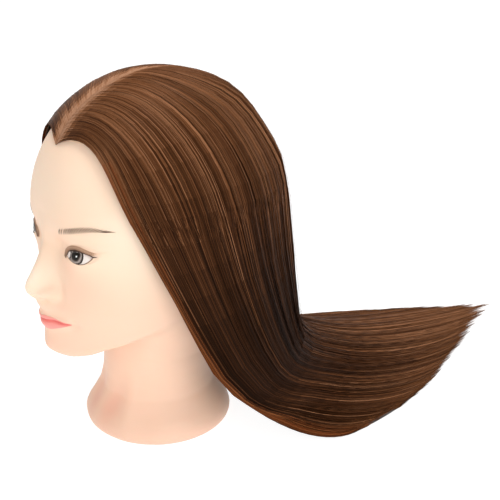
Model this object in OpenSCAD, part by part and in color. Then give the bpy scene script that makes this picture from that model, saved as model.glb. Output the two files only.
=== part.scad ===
/* [Head] */
// Height of the bare head from the table to the top of the skull
head_height = 291; // [282:1:296]
// Half width of the skull above the ears
skull_half_width = 73; // [69:1:77]
// Forehead distance in front of the neck axis
forehead_depth = 92; // [88:1:95]
// Back of the skull behind the neck axis
occiput_depth = 98; // [94:1:102]
// Thickness of the soft vinyl wall
vinyl_wall = 5; // [4.5:0.5:7]

/* [Neck and clamp socket] */
// Radius of the flared neck where it is widest
base_radius = 59.6; // [57:0.1:62]
// Radius of the neck where it is narrowest
neck_radius = 43.5; // [42:0.5:46]
// Radius of the bore that takes the peg of a table clamp
socket_bore_radius = 13.5; // [12.5:0.1:14.5]
// Depth of that bore
socket_depth = 75; // [60:1:80]
// Wall of the clamp socket
socket_wall = 3.5; // [3:0.5:4]

/* [Hair] */
// Height of the hair over the crown
crown_lift = 5; // [4:0.5:8]
// Thickness of the falling sheet of hair
fall_thickness = 13; // [10:1:15]
// Distance from the neck axis to the longest tips on the table
tip_reach = 384; // [340:1:400]
// Height above the table where the fall turns free of the head
swing_height = 45; // [42:1:50]

/* [Hidden] */

// Colours of the pieces
skin_colour = [0.96, 0.83, 0.72];
hair_colour = [0.27, 0.15, 0.09];
foam_colour = [0.88, 0.80, 0.60];
plastic_colour = [0.93, 0.91, 0.86];
glue_colour = [0.85, 0.75, 0.55];

// Small gaps that keep neighbouring pieces apart
gap = 0.4;
hair_gap = 1.4;
least_hair = 1.6;

// Heights run as z up to crown_z, then as crown_z plus the angle above the level of the eyes' brow
crown_z = 205;
pole = crown_z + 90;
skull_rise = head_height - crown_z;

// Directions round the neck axis, closer together at the face than at the back
direction_count = 54;
face_crowding = 20;
DIRECTIONS = [
    for (i = [0 : direction_count - 1])
        let (turn = i * 360 / direction_count)
        turn - face_crowding * sin(turn)
];

// The underside is narrower than the flare above it, by the rounding of the edge
foot_radius = base_radius - 10.5;

// Height, then front, side and back distances of the neck and head without its features, and how
// square the section is: 2 is an ellipse
SECTIONS = [
    [0, foot_radius, foot_radius, foot_radius, 2],
    [4, base_radius - 4, base_radius - 4, base_radius - 4, 2],
    [9, base_radius, base_radius, base_radius, 2],
    [16, base_radius - 1, base_radius - 1, base_radius - 1, 2],
    [26, base_radius - 5, base_radius - 5, base_radius - 5, 2],
    [38, neck_radius + 3, neck_radius + 3, neck_radius + 3, 2],
    [54, neck_radius, neck_radius, neck_radius, 2],
    [70, neck_radius, neck_radius + 1, neck_radius + 1, 2],
    [76, 76, 50, 49, 2],
    [84, 85, 55, 50, 2],
    [96, 88, 61, 52, 2],
    [110, 91, 65, 56, 2],
    [126, 91, 68, 66, 2],
    [146, 90, 70, 80, 2.1],
    [176, 88, 72, 92, 2.2],
    [crown_z, forehead_depth, skull_half_width, occiput_depth, 2.3]
];

// Outer sheet of the hair: height, then front, side and back distances, and squareness
HAIR_SECTIONS = [
    [0, 125, 138, 132, 2],
    [18, 118, 122, 130, 2],
    [35, 108, 109, 129, 2],
    [54, 100, 99, 128, 2],
    [93, 95, 89, 125, 2],
    [142, 94, 84, 121, 2],
    [194, 94, 83, 114, 2.2],
    [crown_z, forehead_depth + 2, skull_half_width + 10, occiput_depth + 11, 2.3]
];
dome_squareness = 1.85;

// Front edge of the hair: height, then the angle from the face at which the hair starts
FRONT_EDGE = [
    [0, 133], [18, 120], [35, 112], [54, 101], [74, 92], [94, 86], [116, 79], [142, 71],
    [164, 64], [194, 55], [211, 50], [224, 43], [233, 34], [237, 24], [239, 1]
];

// Hairline on the scalp: angle from the face, then the height where the roots start
HAIRLINE = [[0, 237], [34, 232], [50, 210], [75, 190], [95, 186], [115, 166], [140, 130], [180, 108]];

function between(a, b, t) = a + (b - a) * t;
function bump(d, w) = exp(-d * d / (w * w));
function column(table, k) = [for (row = table) [row[0], row[k]]];
function eased(z, table, k) =
    let (reach = 3, c = column(table, k))
    (lookup(z - reach, c) + 2 * lookup(z, c) + lookup(z + reach, c)) / 4;

// Distance from the axis to an egg-shaped section, in a direction and at a height
function egg(turn, h, table, rise) =
    let (
        z = min(h, crown_z),
        lift = max(h - crown_z, 0),
        fore = cos(turn) > 0 ? eased(z, table, 1) : eased(z, table, 3),
        side = eased(z, table, 2),
        m = eased(z, table, 4),
        level = 1 / pow(pow(abs(sin(turn)) / side, m) + pow(abs(cos(turn)) / fore, m), 1 / m),
        n = dome_squareness
    )
    lift > 0 ? 1 / pow(pow(cos(lift) / level, n) + pow(sin(lift) / rise, n), 1 / n) : level;

function place(turn, h, r) =
    let (lift = max(h - crown_z, 0))
    [r * cos(lift) * sin(turn), -r * cos(lift) * cos(turn), min(h, crown_z) + r * sin(lift)];

// The jaw line rises from the chin towards the ear: angle from the face, then its height
JAW = [[0, 77], [22, 83], [39, 92], [62, 104], [80, 112], [105, 112], [140, 90], [180, 78]];
jaw_z = 76;
throat_z = 48;
cheek_z = 152;
function skull(turn, h) =
    let (
        jaw = lookup(turn > 180 ? 360 - turn : turn, JAW),
        level = lookup(h, [[0, 0], [throat_z, throat_z], [jaw, jaw_z], [cheek_z, cheek_z], [pole, pole]])
    )
    egg(turn, level, SECTIONS, skull_rise);

// Nose, lips, chin, cheeks, eye hollows and ears, as heights over the plain skull
NOSE_HEIGHT = [[133, 0], [138, 8], [146, 18], [152, 16], [165, 9], [178, 3], [190, 0]];
NOSE_WIDTH = [[133, 13], [146, 11], [178, 7], [190, 7]];
eye_x = 33;
eye_z = 176;
lip_z = 110;
chin_z = 87;
ear_turn = 96;
ear_z = 154;
function features(turn, h) =
    let (
        away = turn > 180 ? 360 - turn : turn,
        x = skull(turn, h) * sin(away),
        front = cos(turn) > 0 ? 1 : 0
    )
    front * lookup(h, NOSE_HEIGHT) * bump(x, lookup(h, NOSE_WIDTH))
    + front * 4 * bump(x, 17) * bump(h - lip_z, 7)
    + front * 2.5 * bump(x, 15) * bump(h - chin_z, 9)
    + front * 2 * bump(x - 42, 16) * bump(h - 150, 16)
    - front * 3 * bump(x - eye_x, 14) * bump(h - eye_z, 9)
    + 6 * bump(away - ear_turn, 9) * bump(h - ear_z, 22);
function bare(turn, h) = skull(turn, h) + features(turn, h);

// The vinyl form steps back under the scalp, from the hairline up
recess_depth = 7.7;
recess_ramp = 10;
function hairline(turn) = lookup(turn > 180 ? 360 - turn : turn, HAIRLINE);
function recess(turn, h) = recess_depth * min(1, max(0, (h - hairline(turn)) / recess_ramp));
function skin(turn, h) = bare(turn, h) - recess(turn, h);

// Inside of the vinyl: the tightest section nearby, less the wall
function cavity(turn, h) =
    min([for (dz = [-7, 0, 7]) skull(turn, max(h + dz, 0)) - recess(turn, h + dz)]) - vinyl_wall;

// A closed skin over rings that share one set of directions, with a point closing each end
module rings(loops) {
    n = len(loops[0]);
    m = len(loops);
    middle_first = [for (k = [0 : 2]) avg([for (p = loops[0]) p[k]])];
    middle_last = [for (k = [0 : 2]) avg([for (p = loops[m - 1]) p[k]])];
    points = concat([for (loop = loops) each loop], [middle_first, middle_last]);
    walls = [
        for (j = [0 : m - 2], i = [0 : n - 1])
            let (a = j * n + i, b = j * n + (i + 1) % n)
            each [[a, a + n, b + n], [a, b + n, b]]
    ];
    first_end = [for (i = [0 : n - 1]) [m * n, i, (i + 1) % n]];
    last_end = [for (i = [0 : n - 1]) [m * n + 1, (m - 1) * n + (i + 1) % n, (m - 1) * n + i]];
    polyhedron(points, concat(walls, first_end, last_end), convexity = 6);
}
function avg(list) = [for (v = list) 1] * list / len(list);

// A closed slab between an outer and an inner sheet, each a list of rows of points
module slab(outer, inner) {
    rows = len(outer);
    cols = len(outer[0]);
    size = rows * cols;
    points = concat([for (row = outer) each row], [for (row = inner) each row]);
    sheets = [
        for (j = [0 : rows - 2], i = [0 : cols - 2])
            let (a = j * cols + i, b = a + 1, c = a + cols, d = c + 1)
            each [
                [a, c, d], [a, d, b],
                [size + a, size + d, size + c], [size + a, size + b, size + d]
            ]
    ];
    ends = [
        for (i = [0 : cols - 2])
            let (a = i, c = (rows - 1) * cols + i)
            each [
                [a, a + 1, size + a + 1], [a, size + a + 1, size + a],
                [c, size + c, size + c + 1], [c, size + c + 1, c + 1]
            ]
    ];
    edges = [
        for (j = [0 : rows - 2])
            let (a = j * cols, b = a + cols - 1)
            each [
                [a, size + a, size + a + cols], [a, size + a + cols, a + cols],
                [b, b + cols, size + b + cols], [b, size + b + cols, size + b]
            ]
    ];
    polyhedron(points, concat(sheets, ends, edges), convexity = 6);
}

// ---- The bare head ----

plate_height = 6;
core_bottom = plate_height + gap;
inner_mouth = foot_radius - vinyl_wall;
SKIN_HEIGHTS = [
    0, 2, 5, 9, 14, 20, 28, 38, 50, 62, 70, 73, 76, 80, 85, 90, 95, 100, 104, 107, 110, 113,
    117, 123, 129, 133, 136, 140, 144, 148, 153, 160, 167, 173, 178, 184, 192, crown_z,
    crown_z + 10, crown_z + 20, crown_z + 30, crown_z + 42, crown_z + 54, crown_z + 66,
    crown_z + 78
];
CAVITY_HEIGHTS = [
    12, 24, 36, 48, 62, 70, 78, 86, 98, 112, 128, 146, 166, 186, crown_z,
    crown_z + 20, crown_z + 42, crown_z + 66, crown_z + 78
];
function cavity_radius(turn, h, less) =
    h > 12 ? cavity(turn, h) - less : inner_mouth - less;
function cavity_loops(less) = [
    for (h = CAVITY_HEIGHTS) [for (turn = DIRECTIONS) place(turn, h, cavity_radius(turn, h, less))]
];
function flat_loop(z, r) = [for (turn = DIRECTIONS) [r * sin(turn), -r * cos(turn), z]];
function turned(list) = [for (i = [len(list) - 1 : -1 : 0]) list[i]];

module head_shell() {
    color(skin_colour)
        rings(concat(
            turned(cavity_loops(0)),
            [flat_loop(0, inner_mouth)],
            [for (h = SKIN_HEIGHTS) [for (turn = DIRECTIONS) place(turn, h, skin(turn, h))]]
        ));
}

socket_radius = socket_bore_radius + socket_wall;
socket_flange_radius = socket_radius + 5;
socket_flange_height = 3;
socket_top = socket_depth + 3;

module foam_core() {
    core_hole = socket_radius + 0.6;
    core_gap = 2.2;
    color(foam_colour)
        rings(concat(
            [flat_loop(socket_top + gap, core_hole), flat_loop(core_bottom, core_hole)],
            [flat_loop(core_bottom, inner_mouth - core_gap)],
            cavity_loops(core_gap)
        ));
}

module neck_base_plate() {
    plate_radius = inner_mouth - 0.5;
    color(plastic_colour)
        difference() {
            cylinder(h = plate_height, r = plate_radius, $fn = 96);
            translate([0, 0, -1])
                cylinder(h = plate_height + 2, r = socket_radius + 0.2, $fn = 64);
            translate([0, 0, -1])
                cylinder(h = 1 + socket_flange_height + 0.2, r = socket_flange_radius + 0.2, $fn = 64);
        }
}

module clamp_socket() {
    color(plastic_colour)
        difference() {
            union() {
                cylinder(h = socket_top, r = socket_radius, $fn = 64);
                cylinder(h = socket_flange_height, r = socket_flange_radius, $fn = 64);
            }
            translate([0, 0, -1])
                cylinder(h = 1 + socket_depth, r = socket_bore_radius, $fn = 64);
        }
}

// ---- Scalp ----

// Layers over the recessed form, as shares of the recess: glue, then scalp
GLUE_SHARES = [0.295, 0.365];
SCALP_SHARES = [0.48, 0.62];
cap_inset = 7;
function cap_height(turn, t) = between(hairline(turn) + cap_inset, pole - 6, t);

// A cap that follows the form from the hairline up, between two shares of the recess
module cap(shares) {
    steps = 14;
    function loop(t, share) = [
        for (turn = DIRECTIONS)
            let (h = cap_height(turn, t))
            place(turn, h, skin(turn, h) + share * recess(turn, h))
    ];
    rings(concat(
        [for (j = [steps : -1 : 0]) loop(j / steps, shares[0])],
        [for (j = [0 : steps]) loop(j / steps, shares[1])]
    ));
}

module root_lock_layer() {
    color(glue_colour) cap(GLUE_SHARES);
}

module scalp_cap() {
    color(skin_colour) cap(SCALP_SHARES);
}

// ---- Hair held by the head ----

function hair_skin(turn, h) = egg(turn, h, HAIR_SECTIONS, skull_rise + crown_lift);
function hair_outer(turn, h) = max(hair_skin(turn, h), bare(turn, h) + least_hair + hair_gap);
function hair_inner(turn, h) = max(hair_outer(turn, h) - fall_thickness, bare(turn, h) + hair_gap);
function edge_turn(h, s) = between(lookup(h, FRONT_EDGE), 180, s);

// A panel of hair from the front edge (share 0) to the centre back (share 1)
module hair_panel(low, high, steps, from_share, to_share, columns, side) {
    margin = 0.35;
    function sheet(inner) = [
        for (j = [0 : steps]) [
            for (i = [0 : columns])
                let (
                    h = between(low, high, j / steps),
                    t = side > 0 ? i / columns : 1 - i / columns,
                    turn = edge_turn(h, between(from_share, to_share, t)),
                    r = inner ? hair_inner(turn, h) : hair_outer(turn, h),
                    p = place(turn, h, r),
                    at_centre = to_share == 1 && abs(t - 1) < 0.01,
                    shift = at_centre ? margin : 0
                )
                [side * (p[0] + shift), p[1], p[2]]
        ]
    ];
    slab(sheet(false), sheet(true));
}

fall_low = swing_height + 0.3;

module hair_top(side) {
    color(hair_colour) hair_panel(crown_z + 0.3, pole - 2, 12, 0, 1, 12, side);
}
module hair_side(side) {
    color(hair_colour) hair_panel(fall_low, crown_z - 0.3, 14, 0, 0.495, 8, side);
}
module hair_back(side) {
    color(hair_colour) hair_panel(fall_low, crown_z - 0.3, 14, 0.505, 1, 6, side);
}
module hair_top_left() hair_top(1);
module hair_top_right() hair_top(-1);
module hair_side_left() hair_side(1);
module hair_side_right() hair_side(-1);
module hair_back_left() hair_back(1);
module hair_back_right() hair_back(-1);

// Under layer that falls from the nape, between the neck and the back panels
NAPE_RADIUS = [[0, 96], [45, 92], [100, 92], [126, 92]];
nape_thickness = 15;
nape_spread = 34;
nape_top = 124;
nape_steps = 5;
nape_columns = 8;
function nape_point(h, t, inner) =
    let (
        turn = between(180 - nape_spread, 180 + nape_spread, t),
        r = lookup(h, NAPE_RADIUS) - (inner ? nape_thickness : 0)
    )
    place(turn, h, r);
module nape_panel(low, high) {
    function sheet(inner) = [
        for (j = [0 : nape_steps]) [
            for (i = [0 : nape_columns])
                nape_point(between(low, high, j / nape_steps), i / nape_columns, inner)
        ]
    ];
    color(hair_colour) slab(sheet(false), sheet(true));
}
module hair_nape() nape_panel(fall_low, nape_top);

// ---- Hair that lies on the table ----

// The tips lie along a long V: the middle is the longest, and the point leans to the right
tip_lean = -8;
tip_half_width = 113;
tip_side_reach = 128;
edge_curl = 0.22;
tail_top = swing_height - 0.3;
tail_end_thickness = 3;
table_clearance = 0.3;
tail_steps = 12;

// Share runs from -1, the right edge, over 0, the centre back, to 1, the left edge
function fall_turn(share) = 180 - (180 - lookup(swing_height, FRONT_EDGE)) * share;
function tip(share) = [
    tip_half_width * share + tip_lean * (1 - abs(share)),
    between(tip_reach, tip_side_reach, between(abs(share), pow(abs(share), 9), edge_curl)),
    0
];
function curve(a, b, c, d, t) =
    pow(1 - t, 3) * a + 3 * t * pow(1 - t, 2) * b + 3 * t * t * (1 - t) * c + pow(t, 3) * d;

// A strand's middle line: on down the fall's own slope, then over the table towards the longest tips
function fall_slope(share) =
    let (
        low = place(fall_turn(share), swing_height, hair_outer(fall_turn(share), swing_height)),
        up_turn = 180 - (180 - lookup(swing_height + 8, FRONT_EDGE)) * share,
        high = place(up_turn, swing_height + 8, hair_outer(up_turn, swing_height + 8))
    )
    (low - high) / norm(low - high);
function strand(start, share, thick, t) =
    let (
        finish = tip(share),
        way = [tip_lean, tip_reach + 60, 0] - finish,
        pull = 0.35 * norm(finish - start)
    )
    curve(start, start + fall_slope(share) * 34, finish - way / norm(way) * pull, finish, t)
    + [0, 0, 1] * (table_clearance + thick / 2) * min(1, 3 * t);
function sheet_side(start, t) =
    let (
        out = [start[0], start[1], 0] / norm([start[0], start[1]]),
        lying = min(1, 2.6 * t),
        way = out * (1 - lying) + [0, 0, 1] * lying
    )
    way / norm(way);

module tail(from_share, to_share) {
    columns = 6;
    function sheet(side) = [
        for (j = [0 : tail_steps]) [
            for (i = [0 : columns])
                let (
                    t = j / tail_steps,
                    share = between(to_share, from_share, i / columns),
                    turn = fall_turn(share),
                    r = hair_outer(turn, swing_height) - fall_thickness / 2,
                    start = place(turn, tail_top, r),
                    thick = between(fall_thickness, tail_end_thickness, t),
                    p = strand(start, share, thick, t) + side * thick / 2 * sheet_side(start, t)
                )
                [p[0], p[1], max(p[2], table_clearance * (side < 0 ? 1 : 2))]
        ]
    ];
    color(hair_colour) slab(sheet(1), sheet(-1));
}
module tail_left() tail(0.335, 1);
module tail_centre() tail(-0.33, 0.33);
module tail_right() tail(-1, -0.335);
module tail_nape() nape_panel(2 * table_clearance, tail_top);

head_shell();
foam_core();
neck_base_plate();
clamp_socket();
root_lock_layer();
scalp_cap();
hair_top_left();
hair_top_right();
hair_side_left();
hair_side_right();
hair_back_left();
hair_back_right();
hair_nape();
tail_left();
tail_centre();
tail_right();
tail_nape();
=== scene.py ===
# %% [markdown]
# # A hairdresser's training head
#
# The real object is a soft vinyl head on a foam core, with painted brows, eyes and lips, and long
# chestnut hair that is rooted in the scalp, parted in the middle and laid back along the table.
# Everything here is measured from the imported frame: the head's shape is a stack of egg-shaped
# sections, and every hair is a fine ribbon that follows the same sections.

# %% Setup
import math
import bpy
import numpy as np
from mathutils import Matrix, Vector


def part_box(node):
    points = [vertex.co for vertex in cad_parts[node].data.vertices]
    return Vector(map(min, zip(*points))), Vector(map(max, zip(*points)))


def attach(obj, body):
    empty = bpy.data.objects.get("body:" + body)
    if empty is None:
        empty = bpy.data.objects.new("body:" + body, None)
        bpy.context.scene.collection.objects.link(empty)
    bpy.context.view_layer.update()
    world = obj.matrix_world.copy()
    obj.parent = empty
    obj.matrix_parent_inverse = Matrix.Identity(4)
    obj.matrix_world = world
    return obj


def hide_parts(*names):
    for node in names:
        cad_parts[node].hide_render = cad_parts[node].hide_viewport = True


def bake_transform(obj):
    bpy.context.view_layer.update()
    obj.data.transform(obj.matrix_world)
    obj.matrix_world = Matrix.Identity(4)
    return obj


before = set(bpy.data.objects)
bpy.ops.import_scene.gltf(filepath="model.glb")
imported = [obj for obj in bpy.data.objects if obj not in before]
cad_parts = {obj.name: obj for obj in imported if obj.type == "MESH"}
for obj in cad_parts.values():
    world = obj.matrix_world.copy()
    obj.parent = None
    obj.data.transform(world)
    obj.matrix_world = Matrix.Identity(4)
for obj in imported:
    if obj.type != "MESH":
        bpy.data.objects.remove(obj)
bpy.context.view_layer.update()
MM = 0.001

# %% [markdown]
# ## Camera, light and floor
#
# A product of this kind is shown on white under large soft lamps. The camera stands at the head's
# left, a little above it. The background is a plain white world, the floor a pale sheet, and four
# wide lamps (key, fill, back and top) give the soft modelling on the face and the sheen on the hair.

# %% Camera
CAMERA_AZIMUTH = 57.0
CAMERA_PITCH = 22.0
CAMERA_PLACE = (0.7716, -0.4099, 0.500)
LENS = 85.25


def add_object(name, data):
    made = bpy.data.objects.new(name, data)
    bpy.context.scene.collection.objects.link(made)
    return made


def add_camera():
    data = bpy.data.cameras.new("camera")
    data.lens = LENS
    data.sensor_width = 36
    camera = add_object("camera", data)
    camera.location = CAMERA_PLACE
    camera.rotation_euler = (math.radians(90 - CAMERA_PITCH), 0, math.radians(CAMERA_AZIMUTH))
    bpy.context.scene.camera = camera
    print("camera at", CAMERA_PLACE, "lens", LENS, "mm")


add_camera()


# %% Lights and floor
def add_area_light(name, place, aim, size, power, colour=(1, 1, 1)):
    data = bpy.data.lights.new(name, "AREA")
    data.shape = "DISK"
    data.size = size
    data.energy = power
    data.color = colour
    lamp = add_object(name, data)
    lamp.location = place
    lamp.rotation_euler = (Vector(aim) - Vector(place)).to_track_quat("-Z", "Y").to_euler()
    print("lamp", name, "at", place, "with", power, "W")


# name, place, the point it looks at, size, power
add_area_light("key", (0.70, -1.30, 0.95), (0, 0, 0.17), 0.9, 5.2, (1.0, 0.985, 0.96))
add_area_light("fill", (1.5, -0.05, 0.50), (0, 0.0, 0.14), 1.2, 7.5)
add_area_light("back", (1.15, 1.25, 0.75), (0, 0.08, 0.12), 0.9, 6)
add_area_light("top", (0.15, 0.35, 1.7), (0, 0.1, 0.1), 0.8, 19)

WORLD_STRENGTH = 0.50
FLOOR_GLOW = 0.90  # the floor shines a little itself, so that it stays as white as the background
world = bpy.data.worlds.new("studio")
world.use_nodes = True
world.node_tree.nodes["Background"].inputs["Color"].default_value = (1, 1, 1, 1)
world.node_tree.nodes["Background"].inputs["Strength"].default_value = WORLD_STRENGTH
bpy.context.scene.world = world
bpy.context.scene.view_settings.view_transform = "Standard"


def new_material(name):
    material = bpy.data.materials.new(name)
    material.use_nodes = True
    return material, material.node_tree, material.node_tree.nodes["Principled BSDF"]


def add_floor():
    mesh = bpy.data.meshes.new("floor")
    half, level = 6.0, -0.0005
    corners = [(-half, -half, level), (half, -half, level), (half, half, level), (-half, half, level)]
    mesh.from_pydata(corners, [], [(0, 1, 2, 3)])
    floor = add_object("floor", mesh)
    material, _, shader = new_material("pale_floor")
    shader.inputs["Base Color"].default_value = (0.3, 0.3, 0.3, 1)
    shader.inputs["Roughness"].default_value = 0.95
    shader.inputs["Emission Color"].default_value = (1, 1, 1, 1)
    shader.inputs["Emission Strength"].default_value = FLOOR_GLOW
    mesh.materials.append(material)


add_floor()

# %% [markdown]
# ## The shape that everything follows
#
# The frame's head is a stack of level sections round the neck's axis, and above the brow a fan of
# sections that closes over the crown. The same rule is written here once, smooth and fine, so that
# skin, scalp and hair agree with each other and with the frame.

# %% Sections
CROWN_Z = 205.0
TOP_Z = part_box("hair_top_left")[1][2] / MM
HAIR_RISE = TOP_Z - CROWN_Z
SKULL_RISE = HAIR_RISE - 5
DOME_SQUARENESS = 1.85
# the flared base at its widest ring and the neck at its narrowest, as in the frame
BASE_R = 59.6
NECK_R = 42.8
# the back of the hair's dome is a little rounder than the front, and fuller behind the crown
BACK_ROUNDING = 0.22
CROWN_FULLNESS = 4.5

# height, front, side, back and squareness of the head above the jaw
FACE_SECTIONS = np.array([
    [66, 70, 57, 46, 1.8], [73, 76, 58, 47, 1.8], [80, 83, 59.5, 49, 1.8], [88, 90, 61, 50, 1.8],
    [96, 90.5, 62.5, 52, 1.8], [110, 90.5, 65, 56, 1.85], [126, 90.5, 68, 66, 2.0],
    [146, 89.5, 70, 80, 2.1], [176, 88, 72, 92, 2.2], [205, 92, 73, 98, 2.3]])
# height and radius of the neck and its flared base
NECK_PROFILE = np.array([
    [-2.5, BASE_R - 14], [0, BASE_R - 10.5], [1.5, BASE_R - 7.4], [4, BASE_R - 3.9], [7, BASE_R - 1.2],
    [11, BASE_R], [15, BASE_R - 0.8], [21, BASE_R - 3.8], [28, BASE_R - 8.6], [37, NECK_R + 2.8],
    [47, NECK_R + 0.5], [58, NECK_R], [75, NECK_R + 0.7], [95, NECK_R + 3], [125, NECK_R + 6]])
# height, front, side, back and squareness of the hair's outer sheet
HAIR_SECTIONS = np.array([
    [0, 125, 138, 132, 2], [18, 118, 122, 130, 2], [35, 108, 109, 129, 2], [54, 100, 99, 128, 2],
    [93, 95, 89, 125, 2], [142, 94, 84, 121, 2], [194, 94, 83, 112, 2.2], [205, 94, 83, 107.5, 2.3]])
# height and angle of the hair's front edge
FRONT_EDGE = np.array([
    [0, 133], [18, 120], [35, 112], [54, 101], [74, 92], [94, 86], [116, 79], [142, 71],
    [164, 64], [194, 55], [211, 50], [224, 43], [233, 34], [237, 24], [239, 1]])


def smoothstep(x):
    """An eased step from 0 to 1."""
    x = np.clip(x, 0, 1)
    return x * x * (3 - 2 * x)


def bump(d, w):
    """A smooth hill of height 1, with a half width of about w."""
    return np.exp(-(d / w) ** 2)


def smooth_lookup(z, table, k, reach=4.0):
    """Reads a column of a table, eased over a short reach so that no crease shows."""
    total, weight = 0.0, 0.0
    for step in np.linspace(-2, 2, 9):
        w = math.exp(-step * step / 1.6)
        total = total + w * np.interp(z + step * reach / 2, table[:, 0], table[:, k])
        weight += w
    return total / weight


def squared(turn, side, fore, m):
    """Distance to a squared ellipse in a direction."""
    return ((np.abs(np.sin(turn)) / side) ** m + (np.abs(np.cos(turn)) / fore) ** m) ** (-1 / m)


def egg(turn, h, table, rise):
    """Distance to the sheet, in a direction and at a height; above the crown's height h counts degrees."""
    z = np.minimum(h, CROWN_Z)
    lift = np.radians(np.maximum(h - CROWN_Z, 0))
    front = smooth_lookup(z, table, 1)
    back = smooth_lookup(z, table, 3)
    fore = np.where(np.cos(turn) > 0, front, back)
    level = squared(turn, smooth_lookup(z, table, 2), fore, smooth_lookup(z, table, 4))
    rounder, fuller = (BACK_ROUNDING, CROWN_FULLNESS) if table is HAIR_SECTIONS else (0.0, 0.0)
    n = DOME_SQUARENESS - rounder * np.maximum(-np.cos(turn), 0) * np.cos(lift) ** 2
    r = ((np.cos(lift) / level) ** n + (np.sin(lift) / rise) ** n) ** (-1 / n)
    return r + fuller * np.maximum(-np.cos(turn), 0) * bump(np.degrees(lift) - 46, 17)


def place(turn, h, r):
    """A point in millimetres from its direction, height and distance."""
    lift = np.radians(np.maximum(h - CROWN_Z, 0))
    return np.stack([
        r * np.cos(lift) * np.sin(turn),
        -r * np.cos(lift) * np.cos(turn),
        np.minimum(h, CROWN_Z) + r * np.sin(lift)], axis=-1)


print("hair top", round(TOP_Z, 1), "mm, skull rise", round(SKULL_RISE, 1), "mm")

# %% [markdown]
# ## The face
#
# A practice head has a calm doll's face, moulded in soft vinyl: small straight nose, shallow eye
# hollows with the lids in relief, closed lips, a rounded chin and a jaw line that rises to the ear.
# Each feature is a smooth hill or hollow laid over the plain head, so the skin stays one closed
# sheet with no seams, as it comes out of the real mould.

# %% Features of the face
# the eye's middle, half its slit and the slit's slope
EYE = dict(x=38.6, z=174.2, half=10.3, tilt=0.11)
LIP_Z = 113.5
LIP_HALF = 23.6
# height on the face, then how far the nose stands out and half its width
NOSE_HEIGHT = np.array([
    [123, 0], [127, 2.8], [131, 7.4], [134, 13.0], [138, 17.6], [142, 19.2], [146, 18.4],
    [152, 15.0], [160, 10.6], [168, 7.0], [176, 4.4], [188, 2.0], [200, 0]])
NOSE_WIDTH = np.array([[128, 9], [137, 10.5], [145, 9.5], [152, 8.5], [165, 7.5], [178, 7.5], [200, 9]])
# angle from the nose and height of the jaw's edge
JAW_EDGE = np.array([[0, 80], [12, 81], [22, 85], [30, 90], [39, 94], [52, 100], [62, 105], [72, 110],
                     [85, 117], [97, 122], [180, 124]])


def eye_frame(x, z):
    """Coordinates along and across the eye's slit, for either eye."""
    a = np.abs(x) - EYE["x"]
    return a, z - EYE["z"] - EYE["tilt"] * a


# edges of the two lids: place along the slit and height over it
UPPER_LID = np.array([
    [-10.3, 0], [-9.4, 2.0], [-7.4, 3.7], [-1.9, 4.9], [2.3, 4.3], [5.8, 3.0], [8.2, 1.9], [10.3, 0.4]])
LOWER_LID = np.array([
    [-10.3, 0], [-9.2, -1.0], [-6.1, -2.8], [-2.9, -4.4], [1.1, -5.5], [5.0, -5.2], [7.8, -3.3],
    [9.6, -1.2], [10.3, 0]])


def lid_edge(a, table):
    return smooth_lookup(a, table, 1, 1.2) * smoothstep((EYE["half"] - np.abs(a)) / 1.0)


def upper_lid(a):
    return lid_edge(a, UPPER_LID)


def lower_lid(a):
    return lid_edge(a, LOWER_LID)


def in_eye(a, b):
    """How far a point lies inside the slit, in millimetres; negative outside."""
    return np.minimum(upper_lid(a) - b, b - lower_lid(a))


def lip_line(x):
    """Height of the closed mouth over its corners."""
    return 1.7 * bump(np.abs(x) - 13, 7.5)


def lip_top(x):
    t = np.clip(np.abs(x) / LIP_HALF, 0, 1)
    return lip_line(x) + (4.6 - 0.9 * bump(x, 3.2) + 0.5 * bump(np.abs(x) - 5, 3)) * (1 - t ** 1.5)


def lip_bottom(x):
    t = np.clip(np.abs(x) / LIP_HALF, 0, 1)
    return lip_line(x) - (7.4 + 1.2 * bump(np.abs(x) - 12, 8)) * (1 - t ** 2.3)


# smooth hills and hollows: height, middle and half width across, middle and half width up
FACE_HILLS = [
    # the wings of the nose, the crease beside them and the nostrils
    (6.0, 11.5, 4.6, 138.5, 4.6), (-1.6, 17.5, 3.2, 140, 8), (-2.4, 6.5, 3.0, 132.0, 2.4),
    # the eye hollow and the brow bone
    (-1.2, 27, 14, 181, 8), (-2.6, 17, 6, 175, 8), (3.2, 31, 25, 192, 13),
    # cheeks, the mound of the mouth, and the groove under the nose
    (2.6, 40, 20, 147, 20), (2.4, 40, 15, 168, 13), (3.2, 0, 23, 117, 15), (3.6, 0, 11, 120, 14),
    (2.4, 0, 15, 126, 5), (-0.9, 0, 3.2, 124, 5),
    # below the lower lip, the chin and the corners of the mouth
    (1.0, 0, 15, 101, 6), (5.0, 0, 15, 91, 10), (-1.2, LIP_HALF + 2, 3.5, LIP_Z, 4)]


def add_hills(hills, side, z):
    return sum(tall * bump(side - x, wide) * bump(z - up, high) for tall, x, wide, up, high in hills)


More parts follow.
